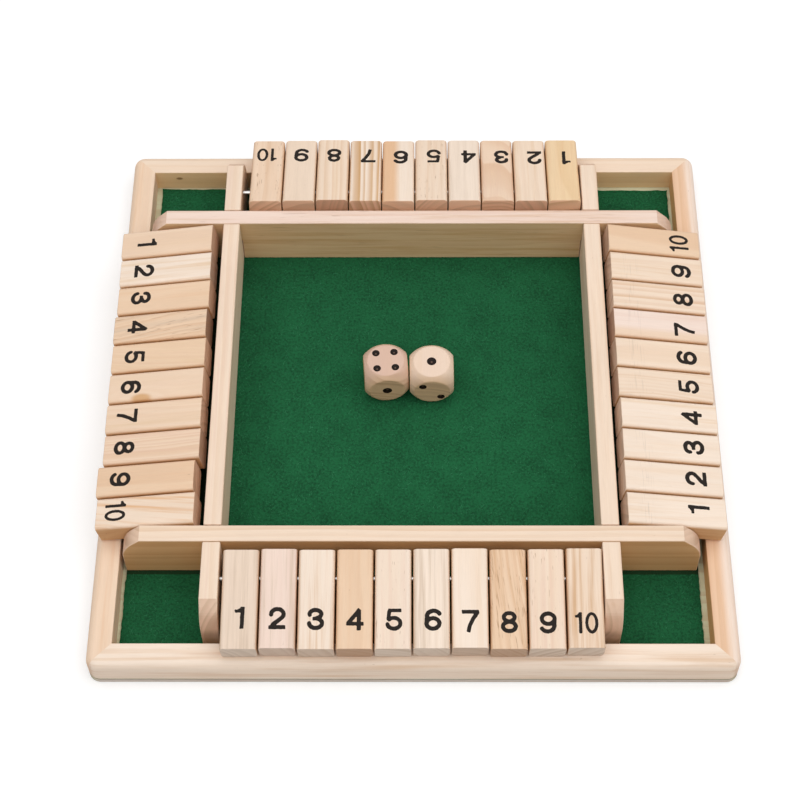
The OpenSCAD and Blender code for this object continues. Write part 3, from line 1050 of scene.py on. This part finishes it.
# curved hairs with a three-cornered section, lying on the cloth
def hairMesh(name, roots, top, draw):
    rings, curling = felt["fibreRings"], felt["fibreCurl"]
    thin = felt["fibreWidth"] * mm
    points, faces = [], []
    for x, y in roots:
        heading = draw.uniform(0, math.tau)
        curl = draw.uniform(-curling, curling)
        length = draw.uniform(*felt["fibreLength"]) * mm
        lift = draw.uniform(*felt["fibreLift"]) * mm
        start = len(points)
        for ring in range(rings):
            t = ring / (rings - 1)
            angle = heading + curl * t
            x += math.cos(angle) * length / rings
            y += math.sin(angle) * length / rings
            centre = Vector((x, y, top + feltHeight(x, y) + lift * math.sin(math.pi * t)))
            sideways = Vector((-math.sin(angle), math.cos(angle), 0)) * thin
            points += [centre - sideways, centre + sideways, centre + Vector((0, 0, thin))]
        last = start + (rings - 1) * 3
        for a in range(start, last, 3):
            faces += [(a + k, a + (k + 1) % 3, a + 3 + (k + 1) % 3, a + 3 + k) for k in range(3)]
        faces += [(start + 2, start + 1, start), (last, last + 1, last + 2)]
    mesh = bpy.data.meshes.new(name)
    mesh.from_pydata(points, [], faces)
    return mesh


def buildFelt():
    draw = random.Random(felt["seed"])
    low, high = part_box("felt_sheet")
    middle, half, turn = feltSquare()
    top = high.z - felt["sink"] * mm
    cloth = feltCloth(middle, half, turn, low.z, top)
    reach = half * felt["fibreArea"]
    roots = [(draw.uniform(-reach, reach), draw.uniform(-reach, reach)) for hair in range(felt["fibres"])]
    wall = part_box("divider_left")[1].x
    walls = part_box("divider_front")[1].y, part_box("divider_back")[0].y
    for hair in range(felt["lint"]):
        roots.append((wall + draw.uniform(0, 1) ** 2 * felt["lintWidth"] * mm, draw.uniform(*walls)))
    hairs = hairMesh("felt_fibres", roots, top, draw)
    for mesh in (cloth, hairs):
        addGrain(mesh, (0, 0, low.z), (1, 0, 0), (0, 1, 0), (0, 0, 1))
    cloth.materials.append(makeFelt("greenFelt", felt["color"], felt["deep"], felt["light"]))
    hairs.materials.append(makeFelt("feltHair", felt["light"], felt["color"], felt["hairColor"]))
    sheet = linkPiece("felt_cloth", cloth, "tray", ["felt_sheet"])
    fibres = linkPiece("felt_fibres", hairs, "tray")
    print("felt:", round(2 * half / mm, 1), "mm square")


# dice

dice = {
    # width of the die, and of the round flat that its ball-shaped corners leave on each side
    "size": 15.5, "flat": 12.6, "ease": 0.22, "cuts": 52,
    # the side colour is painted shade on the die's four sides
    "sideShade": "#f2e7bd", "endWood": "#dcb994",
    # tone, streaks, wood, seed, turn in degrees, then the numbers on top, in front and on the right
    "die_left": ("peach", "rose", "#ddbba8", 4.4, 4.5, 4, 1, 5),
    "die_right": ("pink", "soft", "#efd5c0", 9.3, 1, 1, 2, 3),
}
pips = {
    "width": 2.7, "oneWidth": 3.35, "depth": 0.5, "spread": 3.2, "cuts": (48, 40),
    "color": "#120a07", "worn": "#352118", "wear": (0.45, 0.8), "grain": (1.8, 1.8, 1.8),
    "roughness": (0.4, 0.6), "gloss": 0.12,
    "heart": "#7d6355", "lighterBottom": (0.92, 1.0, 0.0, 0.7),      # lighter toward the bottom of each pip
}


def dieBlank():
    half, ball, ease = dice["size"] / 2, math.hypot(dice["size"], dice["flat"]) / 2, dice["ease"]
    shape = bmesh.new()
    bmesh.ops.create_cube(shape, size=2 * half)
    bmesh.ops.subdivide_edges(shape, edges=shape.edges[:], cuts=dice["cuts"], use_grid_fill=True)
    for vertex in shape.verts:
        direction = vertex.co.normalized()
        flat = half / max(abs(value) for value in direction)
        blend = max(ease - abs(flat - ball), 0) / ease
        vertex.co = direction * (min(flat, ball) - blend * blend * ease / 4)
    return asMesh(shape, "blank")


def pipSpots(value):
    spots = [(0, 0)] if value % 2 else []
    if value > 1:
        spots += [(-1, 1), (1, -1)]
    if value > 3:
        spots += [(-1, -1), (1, 1)]
    if value == 6:
        spots += [(-1, 0), (1, 0)]
    return spots


# the number on each side of a die, and the turn that brings the top there
def dieSides(top, front, right):
    sides = [(top, 0, "X"), (7 - top, 180, "X"), (front, 90, "X"), (7 - front, -90, "X"),
             (right, 90, "Y"), (7 - right, -90, "Y")]
    return [(value, Matrix.Rotation(math.radians(angle), 4, axis)) for value, angle, axis in sides]


def pipCutter(values):
    ballShape = bmesh.new()
    around, upward = pips["cuts"]
    bmesh.ops.create_uvsphere(ballShape, u_segments=around, v_segments=upward, radius=1)
    ballPoints = [vertex.co.copy() for vertex in ballShape.verts]
    ballFaces = [[vertex.index for vertex in face.verts] for face in ballShape.faces]
    ballShape.free()
    points, faces = [], []
    for value, turning in dieSides(*values):
        radius = (pips["oneWidth"] if value == 1 else pips["width"]) / 2
        ball = (radius ** 2 / pips["depth"] + pips["depth"]) / 2
        height = dice["size"] / 2 - pips["depth"] + ball
        for x, y in pipSpots(value):
            centre = Vector((x * pips["spread"], y * pips["spread"], height))
            faces += [[index + len(points) for index in face] for face in ballFaces]
            points += [turning @ (centre + point * ball) for point in ballPoints]
    mesh = bpy.data.meshes.new("pips")
    mesh.from_pydata(points, [], faces)
    mesh.polygons.foreach_set("material_index", [1] * len(faces))
    return mesh


def cutOut(blank, cutter, materials):
    helpers = [newObject(mesh.name, mesh) for mesh in (blank, cutter)]
    for helper in helpers:
        for material in materials:
            helper.data.materials.append(material)
    modifier = helpers[0].modifiers.new("pips", "BOOLEAN")
    modifier.operation = "DIFFERENCE"
    modifier.object = helpers[1]
    modifier.solver = "MANIFOLD"
    bpy.context.view_layer.update()
    cut = bpy.data.meshes.new_from_object(helpers[0].evaluated_get(bpy.context.evaluated_depsgraph_get()))
    for helper in helpers:
        bpy.data.objects.remove(helper)
    return cut


# millimetres below the flat of the die, read by the pip paint
def addHollow(mesh):
    writeValues(mesh, "hollow", "POINT", dice["size"] / 2 - np.abs(readRows(mesh.vertices, "co")).max(1))


def makePipPaint():
    material, tree, shader = newMaterial("pipPaint")
    thin = drawnNoise(readAttribute(tree, "grain", "Vector"), pips["grain"], 4.0, 0.6).outputs[0]
    start, end, least, most = pips["lighterBottom"]
    hollow = readAttribute(tree, "hollow", "Fac")
    lighterBottom = rescale(hollow, start * pips["depth"], end * pips["depth"], least, most)
    setInputs(shader, {
        "Base Color": mixColor(lighterBottom, wornColor(thin, pips), paint(pips["heart"])),
        "Roughness": rescale(thin, 0.2, 0.8, *pips["roughness"]), "Specular IOR Level": pips["gloss"]})
    return material


def buildDice():
    pipPaint = makePipPaint()
    for name in ("die_left", "die_right"):
        tone, streak, color, seed, turn, *values = dice[name]
        low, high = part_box(name)
        middle = (low + high) / 2
        wood = pineMaterial(name + "Wood", tone, "plain", streak, **{
            "Seed": seed, "Ring Width": 2.4, "Pith Up": -60.0, "Dashes": 0.0, "Contrast": 0.12,
            "Early Wood": color, "End Wood": dice["endWood"], "Side Shade And Tint": dice["sideShade"]})
        mesh = cutOut(dieBlank(), pipCutter(values), (wood, pipPaint))
        mesh.name = name + "_body"
        addHollow(mesh)
        turning = Matrix.Rotation(math.radians(turn), 4, "Z")
        mesh.transform(Matrix.Translation(middle) @ turning @ Matrix.Scale(mm, 4))
        smooth(mesh, sharpest=28)
        along, across = turning @ Vector((0, 1, 0)), turning @ Vector((1, 0, 0))
        # the die's four sides take painted shade
        addGrain(mesh, middle, along, -across, (0, 0, 1), inward.values())
        linkPiece(mesh.name, mesh, name, [name])
        print("die:", mesh.name, len(mesh.polygons), "faces")


pineWood = makePineWood()
setCamera()
setLights()
addFloor()
buildBase()
buildFrame()
print("frame built")
buildTiles()
dressRods()
buildFelt()
buildDice()
